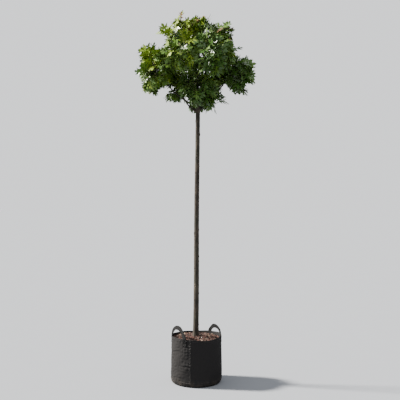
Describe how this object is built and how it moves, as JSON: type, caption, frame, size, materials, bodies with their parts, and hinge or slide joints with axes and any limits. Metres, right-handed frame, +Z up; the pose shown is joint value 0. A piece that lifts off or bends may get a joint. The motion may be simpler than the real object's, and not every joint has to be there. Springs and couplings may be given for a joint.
{
  "type": "sapling with root ball",
  "caption": "Young top-grafted oak with a clear stem and a ball-shaped leafy crown, standing on its root ball in a black fabric nursery bag with webbing handles.",
  "frame": {"origin": "centre of the bag's flat underside", "axes": "+Z up along the stem, +X to the viewer's right, -Y towards the viewer"},
  "size_m": [1.0245, 0.9934, 3.0273],
  "materials": {
    "fabric": "black felted geotextile, matt",
    "webbing": "black woven polypropylene webbing",
    "soil": "moist dark compost round the roots",
    "mulch": "loose reddish bark chips",
    "bark": "grey-brown young bark, smooth with fine cracks and lenticels",
    "foliage": "glossy deep green leaves"
  },
  "bodies": {
    "root": {"grow_bag": "fabric", "root_ball": "soil", "mulch_layer": "mulch", "handle_front_left": "webbing", "handle_back_right": "webbing", "trunk": "bark", "bough_back_left": "bark", "bough_back_right": "bark", "bough_front_left": "bark", "bough_front_right": "bark", "bough_left": "bark", "bough_left_low": "bark", "bough_low_back": "bark", "bough_low_front": "bark", "bough_low_left": "bark", "bough_low_right": "bark", "bough_right": "bark", "bough_right_upper": "bark", "bough_top_back": "bark", "bough_top_left": "bark", "bough_top_right": "bark", "foliage_back_left": "foliage", "foliage_back_right": "foliage", "foliage_front_left": "foliage", "foliage_front_right": "foliage", "foliage_left": "foliage", "foliage_left_low": "foliage", "foliage_low_back": "foliage", "foliage_low_front": "foliage", "foliage_low_left": "foliage", "foliage_low_right": "foliage", "foliage_right": "foliage", "foliage_right_upper": "foliage", "foliage_top_back": "foliage", "foliage_top_left": "foliage", "foliage_top_right": "foliage"}
  },
  "joints": []
}
